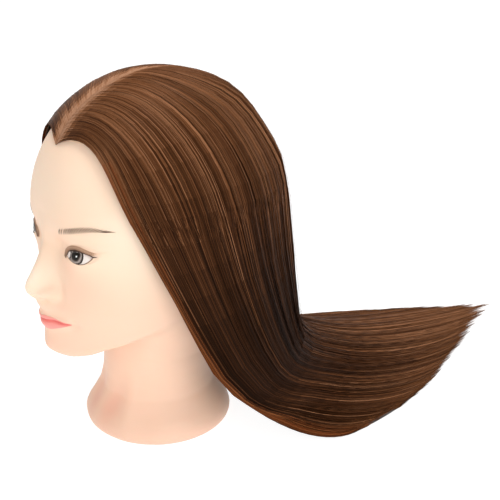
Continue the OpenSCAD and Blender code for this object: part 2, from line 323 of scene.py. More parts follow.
def features(x, z):
    """Hills and hollows of the face, in millimetres outwards."""
    side = np.abs(x)
    ridge = smooth_lookup(z, NOSE_HEIGHT, 1, 2.0) * bump(x, smooth_lookup(z, NOSE_WIDTH, 1, 4.0))
    height = ridge + add_hills(FACE_HILLS, side, z)
    # the ball under the lids, the crease over them and the eye's own sunk surface
    a, b = eye_frame(x, z)
    height += 4.4 * bump(a - 1, 14) * bump(b, 8.5)
    height -= 0.6 * bump(b - upper_lid(a) - 4.6, 1.2) * smoothstep((EYE["half"] + 6 - np.abs(a)) / 6)
    height -= 0.85 * smoothstep(in_eye(a, b) / 1.1)
    # the two lips and the line between them
    top, bottom = LIP_Z + lip_top(x), LIP_Z + lip_bottom(x)
    within = smoothstep((LIP_HALF + 1.5 - side) / 9)
    height += 1.5 * bump(z - (LIP_Z + 0.58 * (top - LIP_Z)), 2.9) * within
    height += 2.2 * bump(z - (LIP_Z + 0.52 * (bottom - LIP_Z)), 3.5) * within
    height -= 1.7 * bump(z - LIP_Z - lip_line(x), 1.15) * smoothstep((LIP_HALF + 2 - side) / 5)
    return height


def head_radius(turn, h):
    """Distance from the axis to the skin."""
    away = np.abs(np.arctan2(np.sin(turn), np.cos(turn)))
    degrees = np.degrees(away)
    face = egg(turn, h, FACE_SECTIONS, SKULL_RISE)
    x = face * np.sin(away)
    face = face + np.where(np.cos(turn) > 0, features(x, h) * smoothstep((88 - degrees) / 20), 0)
    z = np.minimum(h, CROWN_Z)
    neck = smooth_lookup(z, NECK_PROFILE, 1, 2.5)
    # throat and collar hollows at the front of the neck
    throat = 1.5 * bump(degrees - 34, 9) * bump(z - 36, 22)
    throat -= 1.6 * bump(degrees - 18, 10) * bump(z - 34, 18)
    throat -= 1.5 * bump(degrees - 52, 12) * bump(z - 26, 11)
    # under the jaw the neck fills out towards the ear, so the jaw's edge is only a soft line there
    fill = np.interp(z, [56, 72, 85, 98, 112], [0, 1.5, 5.5, 11, 15]) * smoothstep((degrees - 30) / 36)
    neck = neck + throat + fill
    jaw = np.interp(degrees, JAW_EDGE[:, 0], JAW_EDGE[:, 1])
    soft = np.interp(degrees, [0, 40, 80, 110], [3.2, 4.5, 8, 12])
    share = smoothstep((z - jaw + soft) / (2 * soft))
    # the ear: only its lobe and rim lift from the side
    ear = 5.0 * bump(degrees - 81, 6.5) * bump(h - 151, 20)
    return neck + (np.maximum(face, neck) - neck) * share + ear


def on_skin(x, z, lift=0.0):
    """Points on the face at a sideways place and a height, lifted a little off the skin."""
    x, z = np.broadcast_arrays(np.asarray(x, float), np.asarray(z, float))
    turn = np.arcsin(np.clip(x / 85, -0.95, 0.95))
    for _ in range(24):
        r = head_radius(turn, z)
        turn = turn + (x - r * np.sin(turn)) / (r * np.maximum(np.cos(turn), 0.25)) * 0.8
    return place(turn, z, head_radius(turn, z) + lift)


nose_tip = on_skin(0.0, 144.0)
print("nose tip", np.round(nose_tip, 1), "mm")


# %% [markdown]
# ## Helpers for meshes and materials
#
# A few small builders make all the sheets and paints: one turns a grid of points into faces, one
# makes the object, one puts it on its body and hides the frame nodes it stands for, and the last ones
# wire up noises, mixes and colour ramps. Every noise follows the object's own coordinates.

# %% Mesh helpers
def grid_faces(rows, cols, closed=False):
    """Four-sided faces over a grid of points, row by row."""
    j, i = np.meshgrid(np.arange(rows - 1), np.arange(cols if closed else cols - 1), indexing="ij")
    right = (i + 1) % cols
    corners = [j * cols + i, j * cols + right, (j + 1) * cols + right, (j + 1) * cols + i]
    return np.stack(corners, axis=-1).reshape(-1, 4)


def rim_faces(line, n):
    """Faces that join an edge of one sheet to the same edge of the next, n points further on."""
    return np.stack([line[:-1], line[1:], line[1:] + n, line[:-1] + n], -1)


def make_object(name, points, faces, materials, slots=None):
    """A mesh object from points in millimetres; faces all have the same number of corners."""
    mesh = bpy.data.meshes.new(name)
    points = np.asarray(points, float).reshape(-1, 3) * MM
    faces = np.asarray(faces, np.int32)
    corners = faces.shape[1]
    mesh.vertices.add(len(points))
    mesh.vertices.foreach_set("co", points.ravel())
    mesh.loops.add(faces.size)
    mesh.loops.foreach_set("vertex_index", faces.ravel())
    mesh.polygons.add(len(faces))
    mesh.polygons.foreach_set("loop_start", np.arange(0, faces.size, corners, dtype=np.int32))
    mesh.update(calc_edges=True)
    for material in materials:
        mesh.materials.append(material)
    if slots is not None:
        mesh.polygons.foreach_set("material_index", np.asarray(slots, np.int32))
    mesh.polygons.foreach_set("use_smooth", [True] * len(faces))
    mesh.validate()
    return add_object(name, mesh)


def finish_piece(piece, body, nodes=()):
    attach(piece, body)
    if nodes:
        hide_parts(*nodes)
    print(piece.name, len(piece.data.vertices), "points,", len(piece.data.polygons), "faces")


# %% Material helpers
MIX_FIRST, MIX_SECOND, MIX_RESULT = 6, 7, 2  # the colour sockets of the Mix node


def link(tree, a, b):
    tree.links.new(a, b)


def node(tree, kind, **values):
    """A new node; each value goes to the socket or the setting of that name."""
    made = tree.nodes.new(kind)
    for key, value in values.items():
        if key in made.inputs:
            made.inputs[key].default_value = value
        else:
            setattr(made, key, value)
    return made


def set_surface(shader, roughness, gloss):
    shader.inputs["Roughness"].default_value = roughness
    shader.inputs["Specular IOR Level"].default_value = gloss


def add_noise(tree, scale, detail):
    coords = node(tree, "ShaderNodeTexCoord")
    noise = node(tree, "ShaderNodeTexNoise", Scale=scale, Detail=detail)
    link(tree, coords.outputs["Object"], noise.inputs["Vector"])
    return noise.outputs["Fac"]


def add_relief(tree, shader, scale, detail, strength, distance):
    """Fine bumps on a surface, from a noise."""
    relief = node(tree, "ShaderNodeBump", Strength=strength, Distance=distance)
    link(tree, add_noise(tree, scale, detail), relief.inputs["Height"])
    link(tree, relief.outputs["Normal"], shader.inputs["Normal"])


def add_mix(tree, amount, first, second):
    """A mix of two colours; the first may also be an earlier mix."""
    mix = node(tree, "ShaderNodeMix", data_type="RGBA")
    if isinstance(first, tuple):
        mix.inputs[MIX_FIRST].default_value = (*first, 1)
    else:
        link(tree, first, mix.inputs[MIX_FIRST])
    mix.inputs[MIX_SECOND].default_value = (*second, 1)
    link(tree, amount, mix.inputs[0])
    return mix.outputs[MIX_RESULT]


# %% [markdown]
# ## Skin
#
# The vinyl is a warm peach with a satin surface and a faint translucence. The factory sprays a soft
# blush on cheeks, nose and chin, and a brown shade over the lids. With them lie painted shade low on
# the neck and round the base and painted highlights on forehead, nose and temples. These soft colours
# are gradients stored on the mesh as a tint, and the material mixes three paints by it over a fine mottle.

# %% Skin material
def skin_material():
    material, tree, shader = new_material("skin_vinyl")
    tint = node(tree, "ShaderNodeAttribute", attribute_name="spray_and_painted_light")
    parts = node(tree, "ShaderNodeSeparateColor")
    link(tree, tint.outputs["Color"], parts.inputs["Color"])
    paint = add_mix(tree, add_noise(tree, 22.0, 3.0), (0.865, 0.622, 0.455), (0.880, 0.640, 0.475))
    # blush, lid shade and a painted highlight, each over the one before; blush and lid shade also carry
    # painted shade low on the neck and round the base
    for channel, colour in (("Red", (0.87, 0.50, 0.37)), ("Green", (0.17, 0.095, 0.062)),
                            ("Blue", (0.93, 0.75, 0.585))):
        paint = add_mix(tree, parts.outputs[channel], paint, colour)
    link(tree, paint, shader.inputs["Base Color"])
    add_relief(tree, shader, 900.0, 2.0, 0.04, 0.0004)
    set_surface(shader, 0.5, 0.32)
    shader.inputs["Subsurface Weight"].default_value = 0.12
    shader.inputs["Subsurface Radius"].default_value = (0.012, 0.005, 0.003)
    return material


SKIN = skin_material()
print("skin finish", SKIN.name)


# %% Spray and painted light on the skin
# blush on cheeks, nose, chin, under the eyes and beside the brow; then painted highlights on forehead, nose
# and temple
BLUSH = [(0.30, 38, 17, 146, 15), (0.10, 0, 9, 134, 5), (0.22, 0, 18, 90, 10), (0.25, 26, 10, 163, 6),
         (0.22, 20, 10, 183, 9)]
PAINTED_HIGHLIGHTS = [(0.5, 0, 46, 222, 22), (1.0, 0, 14, 149, 14), (0.8, 66, 14, 190, 34)]


def spray_and_painted_light(points):
    """Soft colour on the skin: red is blush, green the lid shade, blue a painted highlight; red and green
    also carry painted shade low down.
    """
    x, y, z = points[:, 0], points[:, 1], points[:, 2]
    side, front = np.abs(x), y < -20
    a, b = eye_frame(x, z)
    blush, light = add_hills(BLUSH, side, z), add_hills(PAINTED_HIGHLIGHTS, side, z)
    lid = upper_lid(a)
    band = smoothstep((b - lid + 0.6) / 1.0) * (1 - smoothstep((b - lid - 1.2) / 3.4))
    band = band * smoothstep((EYE["half"] + 4.5 - np.abs(a)) / 5)
    shade = 0.62 * band
    shade += 0.30 * bump(a + EYE["half"] + 0.5, 3.2) * bump(b - 1.5, 4.5)
    # a breath of shade under the brow
    brow = bump(z - np.interp(side, [22, 40, 58], [191, 195.3, 195.5]), 3.2)
    shade += 0.05 * brow * smoothstep((side - 20) / 6) * smoothstep((61 - side) / 6)
    # painted shade: darker lower down, most of all in the hollow above the collar and round the base
    painted_shade_low = 0.36 * smoothstep((168 - z) / 52) * (1 - bump(x, 16) * bump(z - 149, 15))
    painted_shade_hollow = 0.55 * bump(side - 12, 9) * bump(z - 27, 13) + 0.25 * bump(z - 6, 9)
    edge_shade = 0.05 * bump(side - 12, 8) * bump(z - 25, 11) + 0.035 * smoothstep((16 - z) / 14)
    out = np.zeros((len(points), 4))
    out[:, 0] = np.clip(np.where(front, blush + painted_shade_hollow, 0.25 * bump(z - 6, 9)) + painted_shade_low, 0, 1)
    out[:, 1] = np.clip(np.where(front, shade, 0) + edge_shade, 0, 1)
    out[:, 2] = np.clip(np.where(front, light, 0), 0, 1)
    out[:, 3] = 1
    return out


# %% [markdown]
# ## The moulded skin
#
# The real skin is one rotocast sheet. It could be sculpted, but a net of rings round the axis follows
# the same rule as the frame, and its lines can crowd together where the face needs fine detail.

# %% Skin mesh
def crowded(count, low, high, spots):
    """Stations between two ends, packed closer round each spot (middle, reach, strength)."""
    fine = np.linspace(low, high, 4000)
    density = np.ones_like(fine)
    for middle, reach, strength in spots:
        density += strength * bump(fine - middle, reach)
    total = np.cumsum(density)
    total = (total - total[0]) / (total[-1] - total[0])
    return np.interp(np.linspace(0, 1, count), total, fine)


def make_skin():
    cols = 276
    turns = np.radians(crowded(cols + 1, -180, 180, [(0, 34, 2.4), (-25, 12, 1.0), (25, 12, 1.0)]))[:-1]
    heights = crowded(300, 0, CROWN_Z + 87, [(143, 30, 2.2), (112, 10, 1.6), (174, 11, 2.0), (76, 6, 1.6),
                                             (3, 4, 2)])
    turn, h = np.meshgrid(turns, heights)
    outer = place(turn, h, head_radius(turn, h))
    # the vinyl turns in under the neck and closes as a thick wall above the base plate
    inner_r = [BASE_R - 12.8, BASE_R - 15.2, BASE_R - 15.2, BASE_R - 20]
    inner_z = [0.0, 0.3, 9.0, 12.0]
    rims = [place(turns, np.full(cols, z), np.full(cols, r)) for z, r in zip(inner_z, inner_r)]
    grid = np.concatenate([np.array(rims[::-1]), outer])
    rows = len(grid)
    points = np.concatenate([grid.reshape(-1, 3), [[0, 0, 14.0]], [[0, 0, CROWN_Z + SKULL_RISE]]])
    # the two poles are closed with fans
    low, high, top = rows * cols, rows * cols + 1, (rows - 1) * cols
    faces = [tuple(f) for f in grid_faces(rows, cols, closed=True)]
    faces += [(low, (k + 1) % cols, k) for k in range(cols)]
    faces += [(high, top + k, top + (k + 1) % cols) for k in range(cols)]
    mesh = bpy.data.meshes.new("vinyl_head")
    mesh.from_pydata((points * MM).tolist(), [], faces)
    mesh.materials.append(SKIN)
    colour = mesh.attributes.new("spray_and_painted_light", "FLOAT_COLOR", "POINT")
    colour.data.foreach_set("color", spray_and_painted_light(points).ravel())
    mesh.polygons.foreach_set("use_smooth", [True] * len(mesh.polygons))
    return add_object("vinyl_head", mesh)


finish_piece(make_skin(), "head", ["head_shell"])

# %% [markdown]
# ## Painted eyes, brows and lips
#
# On this kind of head the features are pad-printed: thin films of paint on the moulded relief. Each
# film is its own fine patch, laid a tenth or two of a millimetre over the skin, so its edge stays
# crisp however close one looks. The brow and the lashes are single strokes, thin at both ends. Some of
# the paint stands in for light: the glint in each eye is a painted highlight, the eye's white is painted
# greyer as shade under the upper lid and in the corners, the iris carries a painted reflection and
# painted shade, and the lips are painted darker as shade along the line between them.

# %% Paint materials
def paint_material(name, colour, second, scale=300.0, roughness=0.45, gloss=0.12):
    """A paint with a fine uneven tone between two colours."""
    material, tree, shader = new_material(name)
    link(tree, add_mix(tree, add_noise(tree, scale, 2.0), colour, second), shader.inputs["Base Color"])
    set_surface(shader, roughness, gloss)
    return material


def ramp_material(name, stops, roughness=0.3, gloss=0.10):
    """A paint whose colour follows the 'shade' value stored on the patch."""
    material, tree, shader = new_material(name)
    value = node(tree, "ShaderNodeAttribute", attribute_name="shade")
    ramp = node(tree, "ShaderNodeValToRGB")
    elements = ramp.color_ramp.elements
    while len(elements) < len(stops):
        elements.new(0.5)
    for element, (at, colour) in zip(elements, stops):
        element.position = at
        element.color = (*colour, 1)
    link(tree, value.outputs["Fac"], ramp.inputs["Fac"])
    link(tree, ramp.outputs["Color"], shader.inputs["Base Color"])
    set_surface(shader, roughness, gloss)
    return material


def store_shade(piece, values):
    data = piece.data.attributes.new("shade", "FLOAT", "POINT")
    data.data.foreach_set("value", np.asarray(values, float).ravel())


# the eye's white, greyer where its shade value is low: painted shade under the upper lid and in the corners
EYE_WHITE = ramp_material("eye_white_paint", [(0.0, (0.40, 0.29, 0.25)), (0.28, (0.66, 0.56, 0.51)),
                                              (0.7, (0.78, 0.70, 0.65))], 0.3)
# the iris: pupil, dark brown, a light grey ring and a dark outer ring; the light grey is a painted reflection
IRIS = ramp_material("iris_paint", [(0.0, (0.008, 0.006, 0.005)), (0.36, (0.012, 0.009, 0.007)),
                                    (0.50, (0.045, 0.030, 0.022)), (0.70, (0.40, 0.34, 0.31)),
                                    (0.86, (0.060, 0.044, 0.036)), (1.0, (0.008, 0.006, 0.005))], 0.25)
# a painted highlight for the glint on each eye
GLINT = paint_material("glint_paint", (0.93, 0.92, 0.90), (0.88, 0.87, 0.86), roughness=0.3)
LINER = paint_material("liner_paint", (0.045, 0.022, 0.014), (0.070, 0.036, 0.024))
LID = ramp_material("lid_paint", [(0.0, (0.88, 0.62, 0.45)), (0.30, (0.56, 0.35, 0.235)),
                                  (0.60, (0.29, 0.165, 0.105)), (1.0, (0.085, 0.043, 0.026))], 0.5)
LASH = paint_material("lash_paint", (0.24, 0.135, 0.085), (0.30, 0.175, 0.115))
BROW = paint_material("brow_paint", (0.11, 0.060, 0.036), (0.16, 0.092, 0.058))
LIPS = ramp_material("lip_paint", [(0.0, (0.55, 0.11, 0.095)), (0.2, (0.80, 0.20, 0.17)),
                                   (0.5, (0.90, 0.27, 0.235)), (0.88, (0.92, 0.33, 0.28)),
                                   (1.0, (0.92, 0.47, 0.36))], 0.36, 0.3)
print("paints", [paint.name for paint in (EYE_WHITE, IRIS, GLINT, LINER, LID, LASH, BROW, LIPS)])


# %% Painted eyes
FILM = 0.12  # thickness of a paint film
# how far each film lies off the skin; where two cross, the later coat is the higher one
LIFT = dict(lid=0.12, lips=0.15, white=0.16, brow=0.2, iris=0.26, line=0.3, glint=0.34)


def patch(name, x, z, lift, material, shade=None):
    """A thin film over the skin from grids of places; it is closed by its own underside."""
    rows, cols = x.shape
    top = on_skin(x, z, lift).reshape(-1, 3)
    under = on_skin(x, z, lift - FILM).reshape(-1, 3)
    n = rows * cols
    faces = grid_faces(rows, cols)
    edge = [np.arange(cols), np.arange(rows) * cols + cols - 1,
            (rows - 1) * cols + np.arange(cols)[::-1], np.arange(rows)[::-1] * cols]
    all_faces = np.concatenate([faces[:, ::-1], faces + n] + [rim_faces(line, n) for line in edge])
    piece = make_object(name, np.concatenate([top, under]), all_faces, [material])
    if shade is not None:
        store_shade(piece, np.concatenate([shade.ravel(), shade.ravel()]))
    finish_piece(piece, "head")


def eye_place(a, b, side):
    """Face places from eye coordinates."""
    return side * (EYE["x"] + a), EYE["z"] + EYE["tilt"] * a + b


# the iris: its radius and its middle, in eye coordinates
IRIS_R = 6.2
IRIS_A = -0.9
IRIS_B = 0.1
GLINT_R = 0.7


def paint_eye(side, label):
    u, v = np.meshgrid(np.linspace(0.012, 0.988, 44), np.linspace(0, 1, 16))
    a = (u * 2 - 1) * EYE["half"]
    b = lower_lid(a) + (upper_lid(a) - lower_lid(a)) * v
    x, z = eye_place(a, b, side)
    # painted shade: the white is darker under the upper lid and towards the corners
    deep = np.minimum((upper_lid(a) - b) / 3.2, 1) * np.minimum((EYE["half"] - np.abs(a)) / 3.0, 1)
    patch(f"eye_white_{label}", x, z, LIFT["white"], EYE_WHITE, np.clip(deep, 0, 1))
    turn, r = np.meshgrid(np.linspace(0, 2 * math.pi, 61), np.linspace(0.02, IRIS_R, 18))
    a = IRIS_A + r * np.cos(turn)
    b = np.clip(IRIS_B + r * np.sin(turn), lower_lid(a) + 0.15, upper_lid(a) - 0.05)
    x, z = eye_place(a, b, side)
    # painted shade from the upper lid on the upper inner side of the iris; the light grey left low on the
    # outer side is a painted reflection
    light = -0.26 * smoothstep(0.55 - 0.75 * np.cos(turn + 1.2))
    light = light * smoothstep((r - 1.4) / 2) * smoothstep((5.4 - r) / 1.0)
    spokes = 0.03 * np.sin(turn * 23) * smoothstep((r - 2.4) / 1.5)
    patch(f"iris_{label}", x, z, LIFT["iris"], IRIS, np.clip(r / IRIS_R + light + spokes, 0, 1))
    # the glint: a painted highlight on the iris
    turn, r = np.meshgrid(np.linspace(0, 2 * math.pi, 25), np.linspace(0.02, GLINT_R, 5))
    x, z = eye_place(IRIS_A + 1.0 * side + r * np.cos(turn), IRIS_B + 0.5 + r * np.sin(turn), side)
    patch(f"glint_{label}", x, z, LIFT["glint"], GLINT)


def paint_line(name, a, b, width, side, material):
    """A painted line along eye coordinates, with its own width at each place."""
    slope = np.gradient(b) / np.gradient(a)
    up = 1 / np.sqrt(1 + slope ** 2)
    across = np.linspace(-0.5, 0.5, 4)[:, None]
    x, z = eye_place(a[None] - slope * up * width * across, b[None] + up * width * across, side)
    patch(name, x, z, LIFT["line"], material)


# %% Painted lids
# the shaded lid: its lower and its upper edge, in eye coordinates
LID_LOW = np.array([
    [-12.6, -3.6], [-11.2, -0.9], [-9.4, 2.0], [-6.4, 3.9], [-1.9, 4.7], [2.3, 4.1], [5.8, 2.8],
    [8.8, 1.5], [13.0, 2.1]])
LID_HIGH = np.array([
    [-16.4, -2.6], [-16.2, 2.4], [-11.9, 6.2], [-5.7, 8.5], [0.7, 8.5], [5.7, 6.6], [10.0, 4.4],
    [13.6, 2.6]])


def smooth_line(points, count):
    """A row of places run smoothly through a few marked ones."""
    marks = np.linspace(0, 1, len(points))
    fine = np.linspace(0, 1, count)
    line = np.stack([np.interp(fine, marks, points[:, k]) for k in (0, 1)], -1)
    for _ in range(count // 6):
        line[1:-1] = (line[:-2] + 2 * line[1:-1] + line[2:]) / 4
    return line


def paint_lids(side, label):
    count = 70
    low, high = smooth_line(LID_LOW, count), smooth_line(LID_HIGH, count)
    across = np.linspace(0, 1, 14)[:, None]
    a = low[None, :, 0] * (1 - across) + high[None, :, 0] * across
    b = low[None, :, 1] * (1 - across) + high[None, :, 1] * across
    x, z = eye_place(a, b, side)
    along = np.linspace(0, 1, count)[None]
    lash = 0.5 + 0.5 * np.sin(along * 190 + across * 9)
    ends = smoothstep(np.minimum(along / 0.05, (1 - along) / 0.14))
    edge = 1 - smoothstep((across - 0.80) / 0.20)
    dark = 0.46 + 0.24 * lash - 0.16 * smoothstep((across - 0.35) / 0.3) + 0.20 * bump(across - 0.82, 0.07)
    dark = dark + 0.42 * (1 - smoothstep(across / 0.22)) + 0.28 * (1 - smoothstep(along / 0.22))
    patch(f"lid_shade_{label}", x, z, LIFT["lid"], LID, np.clip(dark * ends * edge, 0, 1))
    a = np.linspace(-EYE["half"] - 0.6, EYE["half"] + 1.5, 50)
    width = 0.5 + 0.55 * np.sin(np.pi * np.linspace(0, 1, 50) ** 0.7)
    paint_line(f"lid_line_{label}", a, upper_lid(a) + 0.15, width, side, LINER)
    a = np.linspace(-EYE["half"] + 0.6, EYE["half"] - 0.4, 40)
    width = 0.42 + 0.2 * np.linspace(0, 1, 40)
    paint_line(f"lower_line_{label}", a, lower_lid(a) - 0.15, width, side, LASH)


# %% Painted brows
def strokes(name, starts, ends, width, bend, side, material, lift, steps):
    """Short tapering strokes on the skin, all in one film; a stroke is a three-sided sliver."""
    t = np.linspace(0, 1, steps)
    points, faces = [], []
    for number, ((x0, z0), (x1, z1), w, k) in enumerate(zip(starts, ends, width, bend)):
        dx, dz = x1 - x0, z1 - z0
        length = math.hypot(dx, dz)
        nx, nz = -dz / length, dx / length
        curve = k * length * np.sin(np.pi * t)
        cx, cz = x0 + dx * t + nx * curve, z0 + dz * t + nz * curve
        half = 0.5 * w * np.sin(np.pi * np.clip(t * 0.9 + 0.06, 0, 1)) + 0.02
        low = on_skin(side * (cx - nx * half), cz - nz * half, lift)
        high = on_skin(side * (cx + nx * half), cz + nz * half, lift)
        ridge = on_skin(side * cx, cz, lift + 0.10)
        base = number * 3 * steps
        points.append(np.stack([low, ridge, high], axis=1).reshape(-1, 3))
        j = np.arange(steps - 1)[:, None]
        c = np.arange(3)[None]
        d = (c + 1) % 3
        quad = base + np.stack([j * 3 + c, j * 3 + d, (j + 1) * 3 + d, (j + 1) * 3 + c], -1)
        faces.append(quad.reshape(-1, 4))
    piece = make_object(name, np.concatenate(points), np.concatenate(faces), [material])
    finish_piece(piece, "head")


# a brow stroke by its share along the brow: x and z of its foot, x and z of its head
BROW_PLAN = np.array([
    [0.00, 22.6, 187.8, 26.0, 193.4], [0.12, 28.7, 189.5, 31.8, 195.2], [0.25, 33.3, 190.7, 36.5, 196.6],
    [0.50, 40.5, 192.4, 44.4, 198.4], [0.70, 46.0, 194.0, 50.2, 198.6], [0.86, 50.6, 194.8, 54.8, 197.0],
    [1.00, 53.9, 194.8, 58.6, 195.2]])
BROW_STROKES = 19


def paint_brow(side, label):
    noise = np.random.default_rng(11)
    count = BROW_STROKES
    t = np.linspace(0, 1, count)
    plan = np.stack([np.interp(t, BROW_PLAN[:, 0], BROW_PLAN[:, k]) for k in (1, 2, 3, 4)], -1)
    plan += noise.normal(0, 0.07, plan.shape)
    width = np.interp(t, [0, 0.3, 1], [0.78, 0.74, 0.50]) * noise.uniform(0.9, 1.1, count)
    bend = noise.uniform(0.04, 0.07, count)
    strokes(f"brow_{label}", plan[:, :2], plan[:, 2:], width, bend, side, BROW, LIFT["brow"], steps=7)


for side, label in ((1, "left"), (-1, "right")):
    paint_eye(side, label)
    paint_lids(side, label)
    paint_brow(side, label)


# %% Painted lips
def paint_lips():
    u, v = np.meshgrid(np.linspace(-0.985, 0.985, 90), np.linspace(0, 1, 30))
    x = u * LIP_HALF
    low, high = LIP_Z + lip_bottom(x), LIP_Z + lip_top(x)
    z = low + (high - low) * v
    line = LIP_Z + lip_line(x)
    far = np.abs(z - line)
    edge = np.minimum(z - low, high - z)
    # darker along the line between the lips: painted shade in the crease
    shade = np.clip(0.1 + far / 2.6, 0.0, 0.75) + 0.2 * smoothstep((0.9 - edge) / 0.9)
    shade = np.where(z > line, shade + 0.06, shade)
    patch("lips", x, z, LIFT["lips"], LIPS, np.clip(shade, 0, 1))


paint_lips()

# %% [markdown]
# ## The hair's path
#
# Every hair leaves the parting, crosses the crown, hangs in the fall behind the shoulder, then turns
# along the table and runs on to the long tips. A particle system could grow it, but hairs that are
# combed this straight are easier to lay by rule: the whole path comes from how far back the hair
# grows (share), how deep it lies in the sheet (depth) and how far out it runs (reach).

# %% Path of a hair
FALL_THICKNESS = 13.0
SWING_Z = 45.0
TIP_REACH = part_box("tail_centre")[1][1] / MM
TIP_SIDE_REACH = 128.0
TIP_HALF_WIDTH = 112.0
TIP_LEAN = -8.0
FAR_NARROWING = 0.95
TAIL_TIP_THICKNESS = 3.0
PARTING_FRONT, PARTING_SWEEP = 29.0, 69.0
DOME_THICKNESS = 7.0
# steps over the crown, close together at the root
DOME_T = np.array([0, 0.008, 0.02, 0.04, 0.07, 0.11, 0.17, 0.24, 0.32, 0.41, 0.50, 0.60, 0.70, 0.80, 0.90, 1])
DOME_STEPS, FALL_STEPS, TAIL_STEPS = len(DOME_T), 7, 13
# where each step lies: 0 to 1 on the crown, 1 to 2 in the fall, 2 to 3 on the way to the tips
PLACE = np.concatenate([DOME_T, 1 + np.arange(1, FALL_STEPS + 1) / FALL_STEPS,
                        2 + np.arange(1, TAIL_STEPS + 1) / TAIL_STEPS])
FALL_END = DOME_STEPS + FALL_STEPS
HAIR_STEPS = FALL_END + TAIL_STEPS


def edge_turn(h, share):
    """Direction of a hair in the fall, from the front edge at share 0 to straight back at 1."""
    front = smooth_lookup(h, FRONT_EDGE, 1, 5.0)
    return np.radians(front + (180 - front) * share)


def fall_point(h, share, inset):
    turn = edge_turn(h, share)
    return place(turn, h, egg(turn, h, HAIR_SECTIONS, HAIR_RISE) - inset)


def unit(v):
    return v / np.maximum(np.linalg.norm(v, axis=-1, keepdims=True), 1e-9)


def bezier(a, b, c, d, t):
    return (1 - t) ** 3 * a + 3 * t * (1 - t) ** 2 * b + 3 * t * t * (1 - t) * c + t ** 3 * d


def onto_dome(p, inset):
    """Moves points out to the hair's dome, then in by an inset; the parting is a shallow valley."""
    v = p - np.array([0, 0, CROWN_Z])
    level = np.hypot(v[..., 0], v[..., 1])
    lift = np.degrees(np.arctan2(np.maximum(v[..., 2], 0), level))
    turn = np.arctan2(v[..., 0], -v[..., 1])
    r = egg(turn, CROWN_Z + lift, HAIR_SECTIONS, HAIR_RISE)
    valley = 1.1 * bump(v[..., 0], 4.0) * smoothstep((30 - v[..., 1]) / 40)
    return place(turn, CROWN_Z + lift, r - valley - inset)


def start_thickness(s):
    """The sheet thins out to about a third towards the front edge."""
    return 0.35 + 0.65 * smoothstep(s * 7)


def dome_path(share, depth):
    """From the parting to the start of the fall. All arrays are hairs by steps."""
    t = DOME_T[None, :, None]
    s = share[:, :1]
    angle = np.radians(PARTING_FRONT + PARTING_SWEEP * s ** 0.8)
    r = egg(np.where(angle > np.pi / 2, np.pi, 0.0), CROWN_Z + np.degrees(np.minimum(angle, np.pi - angle)),
            HAIR_SECTIONS, HAIR_RISE)
    root = np.stack([0 * r + 0.15, -r * np.cos(angle), CROWN_Z + r * np.sin(angle)], -1)
    back = np.stack([0 * r, np.sin(angle), np.cos(angle)], -1)
    turned = np.radians(np.interp(s, [0, 0.1, 0.3, 0.7, 1], [36, 31, 34, 55, 88]))[..., None]
    near = smoothstep(1 - s * 6)[..., None]
    end = fall_point(np.full_like(s, CROWN_Z), s, 0)
    above = unit(end - fall_point(np.full_like(s, CROWN_Z - 12), s, 0))
    span = np.linalg.norm(end - root, axis=-1, keepdims=True)
    out = np.array([1.0, 0, 0]) * np.cos(turned) + back * np.sin(turned)
    leave, arrive = span * (0.42 + 0.08 * near), span * (0.38 + 0.19 * near)
    p = bezier(root, root + out * leave, end + above * arrive, end, t)
    sheet = (1.2 + 5.8 * smoothstep(t[..., 0] * 1.4)) * start_thickness(s)
    # the first hairs lie a little deeper, so the hairline's point is close to the forehead
    sink = 1.2 * smoothstep(1 - s * 9) * smoothstep(1 - 1.5 * t[..., 0])
    p = onto_dome(p, sheet * depth[:, :DOME_STEPS] + sink)
    normal = unit(p - np.array([0, 0, CROWN_Z - 20]))
    return p, normal


def leave_height(s):
    """Height at which a hair leaves the fall and begins its wide turn towards the table."""
    return SWING_Z + 8 + 24 * smoothstep(s * 1.15)


def sheet_thickness(h):
    """How far down the fall a height lies, and how thick the sheet is there."""
    down = (CROWN_Z - h) / (CROWN_Z - SWING_Z)
    return down, DOME_THICKNESS + (FALL_THICKNESS - DOME_THICKNESS) * smoothstep(down * 1.3)


def fall_path(share, depth):
    """Down the side and back of the head."""
    s = share[:, DOME_STEPS:FALL_END]
    step = np.linspace(0, 1, FALL_STEPS + 1)[None, 1:]
    h = CROWN_Z + (leave_height(share[:, FALL_END - 1:FALL_END]) - CROWN_Z) * step
    d = depth[:, DOME_STEPS:FALL_END]
    down, sheet = sheet_thickness(h)
    thin = start_thickness(s)
    sheet = sheet * (thin + (1 - thin) * smoothstep(down))
    turn = edge_turn(h, s)
    r = egg(turn, h, HAIR_SECTIONS, HAIR_RISE) - sheet * d
    p = place(turn, h, r)
    normal = np.stack([np.sin(turn), -np.cos(turn), 0 * turn], -1)
    return p, normal


def tip_place(share):
    """The row of tips on the table, from the middle at 0 to the outer edge at 1."""
    x = TIP_HALF_WIDTH * share
    away = np.abs(share)
    y = TIP_REACH + (TIP_SIDE_REACH - TIP_REACH) * (0.78 * away + 0.22 * away ** 9)
    return np.stack([x, y, 0 * x], -1)


